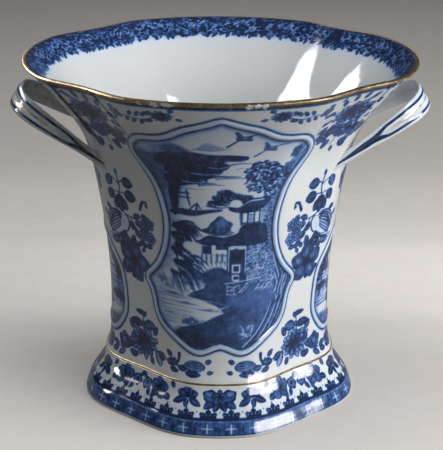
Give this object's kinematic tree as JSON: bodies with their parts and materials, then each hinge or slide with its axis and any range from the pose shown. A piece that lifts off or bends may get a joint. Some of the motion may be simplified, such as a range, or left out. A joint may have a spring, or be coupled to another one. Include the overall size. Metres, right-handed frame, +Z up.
{
  "type": "bough vase",
  "caption": "Lobed trumpet-shaped porcelain vase on a spreading foot, with looped strap handles, for holding cut branches and flowers.",
  "frame": {"origin": "centre of the foot, on the surface it stands on", "axes": "+X towards one handle, -Y towards the front panel, +Z up"},
  "size_m": [0.2382, 0.2238, 0.2],
  "materials": {
    "body_glaze": "white porcelain under a clear glaze, painted in cobalt blue",
    "foot_glaze": "white porcelain with a deep blue printed border under a clear glaze",
    "handle_glaze": "white porcelain with blue stripes and a gilt line",
    "rim_gilt": "worn brown-gold gilding",
    "seam_gilt": "worn gilding"
  },
  "bodies": {
    "root": {"body": "body_glaze", "foot": "foot_glaze", "handle_left": "handle_glaze", "handle_right": "handle_glaze", "rim_gilding": "rim_gilt", "seam_gilding": "seam_gilt"}
  },
  "joints": []
}
